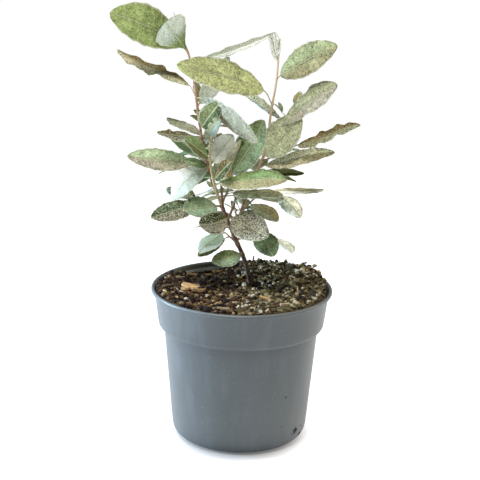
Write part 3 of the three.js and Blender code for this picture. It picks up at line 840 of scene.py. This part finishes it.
class Leaf:
    """One leaf's frame: where its blade starts, its way, its face and its side."""

    def __init__(
        self, shoot, look, at, bearing, rise, long, broad, roll, stalk, arch, sway, fold, lean=0.4, belly=1
    ):
        line = LINES[shoot]
        self.root = line[at]
        self.stem = way_at(line, at)
        self.way = heading(bearing, rise)
        self.stalk_way = unit(self.stem * lean + self.way * 0.9)
        self.base = self.root + self.stalk_way * stalk
        level = unit(np.array([0, 0, 1]) - self.way * self.way[2])
        across = np.cross(self.way, level)
        turn = math.radians(roll)
        self.face = level * math.cos(turn) + across * math.sin(turn)
        self.side = np.cross(self.way, self.face)
        self.shoot, self.look, self.at = shoot, look, at
        self.long, self.broad, self.arch, self.sway = long, broad, arch, sway
        self.fold, self.belly = math.radians(fold), belly

    def half(self, t):
        return self.broad / 2 * np.sin(np.pi * np.clip(t, 0, 1) ** self.belly) ** 0.62

    def laid(self, t, up, aside):
        """Points from their share of the length and their millimetres up and aside."""
        return (
            self.base
            + np.multiply.outer(self.long * t, self.way)
            + np.multiply.outer(up, self.face)
            + np.multiply.outer(aside, self.side)
        )

    def spot(self, t, s, lift=0.0):
        half = self.half(t)
        bow = self.long * 4 * t * (1 - t)
        up = self.arch * bow + np.abs(s) * half * math.sin(self.fold) + lift
        return self.laid(t, up, self.sway * bow + s * half * math.cos(self.fold))

    def feelers(self):
        marks = [(t, s) for t in (0.1, 0.25, 0.4, 0.55, 0.7) for s in (-0.9, -0.45, 0, 0.45, 0.9)]
        marks += [(t, s) for t in (0.85, 1) for s in (-0.5, 0.5)]
        return np.array([self.spot(t, s) for t, s in marks])


def touches(spots, others, clear):
    return bool((np.linalg.norm(spots[:, None] - others[None], axis=2) < clear).any())


leaves = []
taken = [line[::3] for line in LINES.values()]
for shoot, rows in LEAVES.items():
    for row in rows:
        leaves.append(Leaf(shoot, *row))
        taken.append(leaves[-1].feelers())
noted = len(leaves)
for n, (shoot, (start, end, buds, long, reach, droop)) in enumerate(FILLING.items()):
    luck = chance(RULE["seed"] + n)
    for k in range(buds):
        at = math.floor(start + (end - start) * k / (buds - 1) + 0.5)
        size = long * (0.8 + 0.35 * next(luck))
        turn = (RULE["turn"] * k + RULE["wobble"] * (next(luck) - 0.5) + 180) % 360 - 180
        rise, roll = droop + RULE["tilt"] * (next(luck) - 0.5), RULE["roll"] * (next(luck) - 0.5)
        if abs(turn) > reach:
            continue
        shape = (size, size * RULE["broad"], roll, RULE["stalk"], RULE["arch"], 0, RULE["fold"])
        leaf = Leaf(shoot, RULE_LOOKS[(k + n) % len(RULE_LOOKS)], at, 90 + turn, rise, *shape)
        if touches(leaf.feelers(), np.concatenate(taken), RULE["clear"] + size * 0.04):
            continue
        taken.append(leaf.feelers())
        leaves.append(leaf)
print("leaves seen from the front:", noted, "and added by the rule:", len(leaves) - noted)

# %% [markdown]
# The finest twigs are short spurs that end in two young leaves. They stand along every shoot but the
# trunk, and the same test keeps them clear of what has grown already.

# %% Short spurs with young leaves
SPURS = dict(seed=77, first=16, last=64, every=15, shortest=28, near=5, clear=4)
YOUNG_TURNS = (-38, 34)
spurs = []
luck = chance(SPURS["seed"])
for shoot, line in LINES.items():
    length = len(line) - 1
    if length < SPURS["shortest"] or shoot == "trunk":
        continue
    for k, at in enumerate(range(SPURS["first"], min(length - 6, SPURS["last"]), SPURS["every"])):
        bearing = (RULE["turn"] * k + 40 * next(luck)) % 180
        way = heading(bearing, 30 + 30 * next(luck))
        tip = line[at] + way * (5 + 5 * next(luck))
        size = 9 + 7 * next(luck)
        young = [(bearing + turn, 25 + 25 * next(luck)) for turn in YOUNG_TURNS]
        reach = np.array([tip, tip + heading(*young[0]) * size, tip + heading(*young[1]) * size])
        others = np.concatenate(taken)
        others = others[np.linalg.norm(others - line[at], axis=1) > SPURS["near"]]
        if touches(reach, others, SPURS["clear"]):
            continue
        spurs.append((shoot, at, way, tip, young, size))
        taken.append(reach)
print("spurs:", len(spurs))

# %% [markdown]
# A blade is thin but closed: a grid given thickness, so both sides and the rim are there. Each copy bends
# that grid along the leaf's own frame. The margin waves, the two halves fold up from the midrib, the
# midrib is a fine groove above and a ridge below, and the rim is thinner than the middle.

# %% The blade template
BLADE_GRID = (30, 12)
THICKNESS = 1 / 80
TINY = 0.35
RELIEF = dict(quick=0.6, cockle=0.45, cockle_run=2.6, notch=0.03)
RELIEF.update(curl=0.035, rib=0.35, rib_half=0.9, nod=0.02)


def blade_template(along, across):
    """A closed plate. A leaf's own frame is left-handed, so the plate starts with its faces reversed."""
    bm = bmesh.new()
    bmesh.ops.create_grid(bm, x_segments=along, y_segments=across, size=1)
    bmesh.ops.solidify(bm, geom=bm.faces[:], thickness=1)
    bmesh.ops.recalc_face_normals(bm, faces=bm.faces[:])
    bmesh.ops.reverse_faces(bm, faces=bm.faces[:])
    return Template(bm)


def plate_places(template):
    """Where each point lies along (0 to 1), across (-1 to 1) and through (half either way) the plate."""
    x, y, z = template.spots.T
    return (x + 1) / 2, y, np.where(z > z.mean(), 0.5, -0.5)


BLADE = blade_template(*BLADE_GRID)
grid_t, grid_s, BLADE_W = plate_places(BLADE)
BLADE_T = 0.5 * grid_t + 0.5 * (1 - np.cos(np.pi * grid_t)) / 2
BLADE_S = np.sin(grid_s * math.pi / 2)
print("points of one blade:", len(BLADE_T))


def blade(leaf, luck, wave):
    """The template's points laid along one leaf."""
    t, s = BLADE_T, BLADE_S
    waves, phase = 2.6 + 1.6 * next(luck), math.tau * next(luck)
    ends = np.sin(np.pi * t)
    slow = np.sin(math.tau * waves * t + phase + 1.7 * np.sign(s))
    quick = RELIEF["quick"] * np.sin(math.tau * waves * 1.7 * t + 2 * phase * s)
    ripple = wave * leaf.long * np.abs(s) ** 1.8 * (slow + quick) * ends
    cockle = np.sin(t * leaf.long / RELIEF["cockle_run"] - np.abs(s) * 3 + phase) * np.sin(np.pi * s) * ends
    notch = 1 + RELIEF["notch"] * np.sin(math.tau * waves * 2.1 * t + phase * 3 + s)
    half = leaf.half(t) * notch + TINY
    bow = leaf.long * 4 * t * (1 - t)
    rise = (np.sqrt(s * s + 0.01) - 0.1) * half * math.sin(leaf.fold)
    curl = -RELIEF["curl"] * leaf.broad * np.abs(s) ** 4 * (0.4 + next(luck))
    rib = RELIEF["rib"] * np.exp(-((s * half / RELIEF["rib_half"]) ** 2)) * (1 - t)
    thick = leaf.long * THICKNESS * (1 - 0.55 * s * s)
    up = leaf.arch * bow + rise + ripple + RELIEF["cockle"] * cockle + curl - rib + BLADE_W * thick
    nod = -RELIEF["nod"] * leaf.long * (2 * next(luck) - 1) * np.sin(math.tau * t)
    return leaf.laid(t, up + nod, leaf.sway * bow + s * half * math.cos(leaf.fold))


# %% [markdown]
# One material serves all leaves. What differs from leaf to leaf is dealt to its points as attributes: the
# tint, how speckled and mottled it is, and how broad it is at that point. The side that faces away from
# the viewer is plain tan or grey, since its own colours are never seen in the photo. The material adds
# what is finer than the points: scales, blotches, the pale midrib and the pale margin.

# %% Colours dealt to each blade
SPECKLED = {"ash": 1.0, "umber": 0.4, "tan": 0.2, "olive": 0.2, "sage": 0.12, "grey": 0.08}
SILKY = ("white", "silver", "frost", "ice", "grey")
WAVY = {"umber": 0.02, "sage": 0.014, "olive": 0.014, "lime": 0.014}
SMOOTH_WAVE = 0.008
UNDERSIDES = ("tan", "grey")
UNDER_SPECKLE = 0.5
FRONT = unit(np.array([0.0, -1.0, 0.35]))
EDGE_ON = 0.25
WIDEST = 20


def blade_fields(leaf, luck):
    """Per point: the tint, and the marks, which are speckles, mottling, half the breadth and 1."""
    lengthwise = ">" in leaf.look
    first, second = leaf.look.split(">" if lengthwise else "/")
    up_side = 1.0 if leaf.side[2] > 0 else -1.0
    share = smoothstep(BLADE_T, 0.3, 0.65) if lengthwise else smoothstep(BLADE_S * up_side, -0.25, 0.25)
    share = share[:, None]
    tint = np.array(SHADES[second]) * (1 - share) + np.array(SHADES[first]) * share
    tint[:, :3] *= 0.93 + 0.14 * next(luck)
    to_front = leaf.face @ FRONT
    hidden = BLADE_W * (to_front if abs(to_front) > EDGE_ON else 0) < 0
    under = np.array(SHADES[UNDERSIDES[0 if next(luck) < 0.5 else 1]])
    tint = np.where(hidden[:, None], under, tint)
    next(luck)  # one draw is passed over, so that those after it keep their places
    mottling = 0.06 + 0.1 * next(luck) if first in SILKY else 0.6 + 0.3 * next(luck)
    marks = np.ones((len(BLADE_S), 4))
    marks[:, 0] = np.where(hidden, UNDER_SPECKLE, max(SPECKLED.get(first, 0), SPECKLED.get(second, 0)))
    marks[:, 1] = mottling
    marks[:, 2] = leaf.half(BLADE_T) / WIDEST
    return tint, marks


# %% The leaves' skin
PATTERN = dict(cloud=2.1, blotch=2.4, scales=4.2, halves=0.5, light=0.286)
PATCH_PALE = rgb(202, 208, 172)
SCALE_PALE, SCALE_DARK = rgb(228, 230, 218), rgb(52, 52, 38)
MIDRIB_PALE, MARGIN_PALE = rgb(206, 208, 164), rgb(222, 222, 196)


def leathery(wire):
    marks = wire.attribute("marks")
    parts = [wire.node("ShaderNodeSeparateColor", {}, {"Color": marks}, number) for number in range(3)]
    speckle, mottling, breadth = parts
    aside = abs(wire.node("ShaderNodeUVMap", {"uv_map": "blade"}, {}).axis(1) - 0.5) * 2
    cloud = wire.noise(70, 3) - 0.5
    blotch = wire.noise(250, 3) - 0.5
    scales = wire.noise(600, 2) - 0.5
    midrib = 1 - (aside * (breadth * WIDEST)).step(0.3, 1.3)
    halves = (1 - aside.step(0.75, 0.95)) * aside.step(0.03, 0.15)
    margin = aside.step(0.87, 0.96)
    pattern = cloud * PATTERN["cloud"] + blotch * PATTERN["blotch"] + scales * PATTERN["scales"]
    pattern = pattern + PATTERN["light"] + halves * PATTERN["halves"]
    patch = (blotch + cloud).step(0.04, 0.3) * mottling
    light = 0.95 + pattern * (0.08 + 0.92 * mottling) + patch * 0.18 + scales * speckle * 2.4
    colour = wire.mix(1.0, wire.attribute("tint"), light.math("MAXIMUM", light, 0.25), "MULTIPLY")
    colour = wire.mix(patch * 0.12, colour, PATCH_PALE)
    colour = wire.mix(scales.step(0.06, 0.16) * speckle * 0.75, colour, SCALE_PALE)
    colour = wire.mix((0 - scales).step(0.06, 0.16) * speckle * 0.7, colour, SCALE_DARK)
    colour = wire.mix(midrib * 0.55, colour, MIDRIB_PALE)
    colour = wire.mix(margin * 0.5, colour, MARGIN_PALE)
    height = 0.4 * halves + 0.5 * scales + 1.2 * blotch + cloud + 0.6 * midrib
    return {
        "Base Color": colour,
        "Roughness": 0.72 + 0.25 * blotch,
        "Specular IOR Level": 0.07,
        "Normal": wire.bump(height, 1.0, 0.0015),
    }


LEATHER = material("scaly_leaf", leathery)
luck = chance(5)
copies, tints, marks = [], [], []
for leaf in leaves:
    first = leaf.look.replace(">", "/").split("/")[0]
    copies.append(blade(leaf, luck, WAVY.get(first, SMOOTH_WAVE)))
    tint, mark = blade_fields(leaf, luck)
    tints.append(tint)
    marks.append(mark)
blade_uv = np.stack([BLADE_T, BLADE_S / 2 + 0.5], 1)
blades = joined("leaf_blades", BLADE, copies, LEATHER, {"tint": tints, "marks": marks}, blade_uv)

# %% [markdown]
# Young leaves at the tips are small, narrow and silky white with scales, so they take the same material
# with silver tints and a coarser copy of the blade. They stand on the spurs.

# %% Young leaves on the spurs
YOUNG_GRID = (10, 4)
YOUNG_SHAPE = dict(broad=0.36, roll=20, arch=0.05, fold=20, thick=0.03, sink=0.02)
YOUNG_SHADES = ("sage", "pale", "fresh", "silver")
YOUNG_MARKS = (0.1, 0.3, 1, 1)
YOUNG = blade_template(*YOUNG_GRID)
young_t, young_s, young_w = plate_places(YOUNG)
copies, tints, marks = [], [], []
for shoot, at, way, tip, young, size in spurs:
    for bearing, rise in young:
        roll = YOUNG_SHAPE["roll"] * (next(luck) - 0.5)
        shape = (size, size * YOUNG_SHAPE["broad"], roll, 0, YOUNG_SHAPE["arch"], 0, YOUNG_SHAPE["fold"])
        small = Leaf(shoot, "sage/sage", at, bearing, rise, *shape)
        small.base = tip
        lift = young_w * size * YOUNG_SHAPE["thick"] - YOUNG_SHAPE["sink"] * size
        copies.append(small.spot(young_t, young_s, lift))
        tints.append(YOUNG.tinted(SHADES[YOUNG_SHADES[int(next(luck) * 4) % 4]]))
        marks.append(YOUNG.tinted(YOUNG_MARKS))
        next(luck)  # passed over, as for the large leaves
young_uv = np.stack([young_t, young_s / 2 + 0.5], 1)
young_blades = joined("young_blades", YOUNG, copies, LEATHER, {"tint": tints, "marks": marks}, young_uv)

# %% [markdown]
# Bark on such a young plant is thin, with fine lengthwise cracks, small swellings where leaves grow and
# pale dots. Each shoot is one tube, finely ringed, whose radius carries that relief. The foot of the
# trunk flares into the soil, and each shoot keeps its own colour from its foot to its tip.

# %% The stems
BARK_SHADES = {  # at the foot and at the tip
    "trunk": (rgb(48, 34, 30), rgb(100, 62, 48)),
    "left": (rgb(146, 96, 74), rgb(174, 136, 108)),
    "right": (rgb(148, 98, 74), rgb(210, 188, 154)),
    "front": (rgb(172, 158, 112), rgb(182, 176, 126)),
}
SIDE_BARK = (rgb(124, 92, 68), rgb(166, 150, 114))
CRACK_PALE, PATCH_RED, PORE_PALE = rgb(196, 172, 140), rgb(104, 54, 40), rgb(208, 190, 160)
RINGS_PER_MM = 0.8
STEM_SIDES = 14
SWELLING, SWELLING_REACH = 0.22, 1.6
CRACK_RELIEF = 0.09


def swellings(shoot):
    """Where leaves and other shoots start on a shoot, or a place far away if nothing does."""
    places = [leaf.at for leaf in leaves if leaf.shoot == shoot]
    places += [at for on, at, _, _ in SHOOTS.values() if on == shoot]
    return np.array(places or [-99])


def stem_mesh(shoot):
    """A shoot's tube with its bark's relief: (template, points, tints)."""
    line = LINES[shoot]
    length = len(line) - 1
    template = tube(STEM_SIDES, max(4, int(length * RINGS_PER_MM)))
    thick, thin = SHOOTS[shoot][2]
    share = template.spots[:, 2]
    angle = np.arctan2(template.spots[:, 1], template.spots[:, 0])
    out = np.hypot(template.spots[:, 0], template.spots[:, 1])
    s = share * length
    i = np.minimum(np.floor(s).astype(int), length - 1)
    spot = line[i] + (line[i + 1] - line[i]) * (s - i)[:, None]
    way = np.array([way_at(line, int(round(v))) for v in s])
    radius = thick + (thin - thick) * share
    if shoot == "trunk":
        radius = radius + ROOT_FLARE * np.exp(-s / FLARE_FADE) * (1 + 0.25 * np.sin(3 * angle + 1))
    near = np.abs(s[:, None] - swellings(shoot)[None, :]).min(1)
    radius = radius * (1 + SWELLING * np.exp(-((near / SWELLING_REACH) ** 2)))
    cracks = [noise.noise(Vector((math.cos(a) * 2, math.sin(a) * 2, v * 0.12))) for a, v in zip(angle, s)]
    radius = radius * (1 + CRACK_RELIEF * np.array(cracks)) * out
    side = np.cross(np.array([0.0, 1.0, 0.0]), way)
    side /= np.linalg.norm(side, axis=1)[:, None]
    front = np.cross(way, side)
    points = spot + side * (radius * np.cos(angle))[:, None] + front * (radius * np.sin(angle))[:, None]
    if shoot == "trunk":
        points[share < 0.001, 2] = TRUNK_FOOT[2]
    low, high = BARK_SHADES.get(shoot, SIDE_BARK)
    tint = np.array(low) * (1 - share)[:, None] + np.array(high) * share[:, None]
    return template, points, tint


def bark(wire):
    crack = wire.noise(900, 4, wire.mapped(Scale=(1, 1, 0.22)))
    patch = wire.noise(160, 3)
    pore = 1 - wire.dots(650).step(0.1, 0.22)
    colour = wire.mix(crack.step(0.45, 0.7) * 0.4, wire.attribute("tint"), CRACK_PALE)
    colour = wire.mix(patch.step(0.5, 0.75) * 0.4, colour, PATCH_RED)
    colour = wire.mix(pore * 0.35, colour, PORE_PALE)
    return {"Base Color": colour, "Roughness": 0.7, "Normal": wire.bump(crack + 0.5 * pore, 0.5, 0.0004)}


BARK = material("young_bark", bark)
for shoot in SHOOTS:
    template, points, tint = stem_mesh(shoot)
    name = ("bark_" if shoot in BARK_SHADES else "twig_") + shoot
    piece = joined(name, template, [points], BARK, {"tint": [tint]})
    node = "trunk" if shoot == "trunk" else "bough_" + shoot
    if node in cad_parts:
        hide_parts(node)

# %% [markdown]
# Every leaf hangs on a short stalk, and a bud sits above it in the corner with the stem. Spurs are short
# twigs of the same make, and so is the dark pruned stub beside the trunk's foot. All of them are bent
# tubes or balls, small enough for a few dozen faces.

# %% Stalks, spurs and buds
STALK = tube(8, 7)
BUD = ball(2)
STALK_SHADE, BUD_SHADE, SNAG_SHADE = rgb(168, 152, 112), rgb(134, 94, 62), rgb(62, 42, 38)
SCALE_BLOOM = rgb(214, 206, 178)
STALK_THICK, STALK_THIN, STALK_THINNEST = 0.75, 0.6, 0.35
SMALL_LEAF = 30
BUD_OUT, BUD_HALF = 2.2, 0.6
SPUR_THICK, SPUR_THIN = 0.6, 0.4
SNAG = dict(at=10, bearing=-10, rise=79, length=26, leave=50, arrive=76, thick=1.1, thin=0.9)


def stalk(start, leave, end, arrive, thick, thin):
    """A tube bent smoothly from start to end, leaving and arriving in given directions."""
    share = STALK.spots[:, 2][:, None]
    pull = np.linalg.norm(end - start) * 0.4
    a, b = start + leave * pull, end - arrive * pull
    back = 1 - share
    spot = start * back**3 + 3 * a * back**2 * share + 3 * b * back * share**2 + end * share**3
    way = (a - start) * back**2 + 2 * (b - a) * back * share + (end - b) * share**2
    way /= np.linalg.norm(way, axis=1)[:, None] + 1e-9
    side = np.cross(way, np.array([0.31, 0.77, 0.55]))
    side /= np.linalg.norm(side, axis=1)[:, None] + 1e-9
    front = np.cross(way, side)
    radius = thick * back + thin * share
    return spot + side * radius * STALK.spots[:, :1] + front * radius * STALK.spots[:, 1:2]


def stalk_paint(wire):
    grain = wire.noise(900, 3)
    colour = wire.mix(grain.step(0.4, 0.7) * 0.4, wire.attribute("tint"), SCALE_BLOOM)
    return {"Base Color": colour, "Roughness": 0.6, "Normal": wire.bump(grain, 0.3, 0.0002)}


STALK_LOOK = material("scaly_stalk", stalk_paint)
luck = chance(61)
copies, tints = [], []
buds, bud_tints = [], []
for leaf in leaves:
    end = leaf.spot(0.03, 0.0)
    arrive = unit(leaf.spot(0.1, 0.0) - end)
    thin = STALK_THIN if leaf.long > SMALL_LEAF else STALK_THINNEST
    copies.append(stalk(leaf.root, leaf.stalk_way, end, arrive, STALK_THICK, thin))
    tints.append(STALK.tinted(STALK_SHADE))
    corner = leaf.root + unit(leaf.stalk_way + leaf.stem) * BUD_OUT
    grow = unit(leaf.stem + 0.5 * leaf.way)
    aside = unit(np.cross(grow, leaf.way) + 1e-6)
    basis = np.stack([aside * BUD_HALF, np.cross(grow, aside) * BUD_HALF, grow * (1.1 + 0.6 * next(luck))])
    buds.append(BUD.spots @ basis + corner)
    bud_tints.append(BUD.tinted(BUD_SHADE))
for shoot, at, way, tip, young, size in spurs:
    copies.append(stalk(LINES[shoot][at], way, tip, way, SPUR_THICK, SPUR_THIN))
    tints.append(STALK.tinted(STALK_SHADE))
snag_foot = LINES["trunk"][SNAG["at"]]
snag_tip = snag_foot + heading(SNAG["bearing"], SNAG["rise"]) * SNAG["length"]
leave, arrive = heading(SNAG["bearing"], SNAG["leave"]), heading(SNAG["bearing"], SNAG["arrive"])
copies.append(stalk(snag_foot, leave, snag_tip, arrive, SNAG["thick"], SNAG["thin"]))
tints.append(STALK.tinted(SNAG_SHADE))
stalks = joined("leaf_stalks", STALK, copies, STALK_LOOK, {"tint": tints})
bud_piece = joined("buds", BUD, buds, STALK_LOOK, {"tint": bud_tints})
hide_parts(*[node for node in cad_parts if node.startswith("foliage_")])

# %% [markdown]
# The set is a plain pale floor and soft studio light: a strong cool light from the left, a weak warm one
# from the right and one overhead, in a dim even surround. The floor glows, so that it stays as pale as
# studio paper. Round the pot its glow is weaker and its colour darker: a painted shadow. The set's
# places are in metres.

# %% Floor and lights
FLOOR_HALF = 12.0
SHADOW_SHIFT = (0, 0.02, 0)
SHADOW_START, SHADOW_END = 0.052, 0.094
SURROUND = 0.05
LIGHTS = [  # name, place, aim, size, power, colour
    ("cool_left", (-1.3, 0.1, 0.3), (0, 0, 0.15), 0.6, 30, (0.57, 0.78, 1.0)),
    ("warm_right", (1.3, 0.3, 0.35), (0, 0, 0.15), 0.6, 4, (1.0, 0.8, 0.48)),
    ("overhead", (-0.18, -0.6, 1.45), (0, 0, 0.3), 0.45, 11, (1.0, 0.99, 0.97)),
]


def pale(wire):
    # Painted shadow: round the pot the floor's colour is darker and its glow weaker.
    open_floor = wire.mapped(Location=SHADOW_SHIFT).length().step(SHADOW_START, SHADOW_END)
    return {
        "Base Color": wire.mix(open_floor, rgb(176, 176, 178), rgb(250, 250, 250)),
        "Roughness": 0.9,
        "Specular IOR Level": 0.1,
        "Emission Color": wire.mix(open_floor, (0.15, 0.15, 0.15, 1), (0.96, 0.96, 0.96, 1)),
        "Emission Strength": 1.0,
    }


def area_light(name, place, aim, size, power, colour):
    data = bpy.data.lights.new(name, "AREA")
    data.shape = "DISK"
    data.size = size
    data.energy = power
    data.color = colour
    lamp = bpy.data.objects.new(name, data)
    lamp.location = place
    lamp.rotation_euler = (Vector(aim) - Vector(place)).to_track_quat("-Z", "Y").to_euler()
    bpy.context.collection.objects.link(lamp)


bm = bmesh.new()
bmesh.ops.create_grid(bm, x_segments=1, y_segments=1, size=FLOOR_HALF)
floor_mesh = bpy.data.meshes.new("studio_floor")
bm.to_mesh(floor_mesh)
bm.free()
floor_mesh.materials.append(material("pale_floor", pale))
floor = bpy.data.objects.new("studio_floor", floor_mesh)
bpy.context.collection.objects.link(floor)
for light in LIGHTS:
    area_light(*light)
world = bpy.data.worlds.new("studio")
world.use_nodes = True
world.node_tree.nodes["Background"].inputs["Color"].default_value = (1, 1, 1, 1)
world.node_tree.nodes["Background"].inputs["Strength"].default_value = SURROUND
scene = bpy.context.scene
scene.world = world
scene.view_settings.view_transform = "Standard"
print("lights:", len(LIGHTS))

# %% [markdown]
# The camera stands where the rim's ellipse puts it: about sixteen degrees above the pot, and turned by a
# little more than one degree. Its focal length is known in pixels, so the lens follows from the sensor.

# %% Camera
DISTANCE = 1.4
ELEVATION = math.radians(15.9)
ROLL = math.radians(1.26)
AIM = Vector((-0.0033, 0, 0.2336))
SENSOR = 36
PHOTO_SIDE = 480
FOCAL_PIXELS = 1219
camera_data = bpy.data.cameras.new("photo_camera")
camera_data.sensor_width = SENSOR
camera_data.lens = FOCAL_PIXELS / PHOTO_SIDE * SENSOR
camera = bpy.data.objects.new("photo_camera", camera_data)
look_down = Matrix.Rotation(math.pi / 2 - ELEVATION, 4, "X")
stand = Matrix.Translation(AIM + DISTANCE * Vector((0, -math.cos(ELEVATION), math.sin(ELEVATION))))
camera.matrix_world = stand @ look_down @ Matrix.Rotation(ROLL, 4, "Z")
bpy.context.collection.objects.link(camera)
scene.camera = camera
print("lens, mm:", round(camera_data.lens, 2))
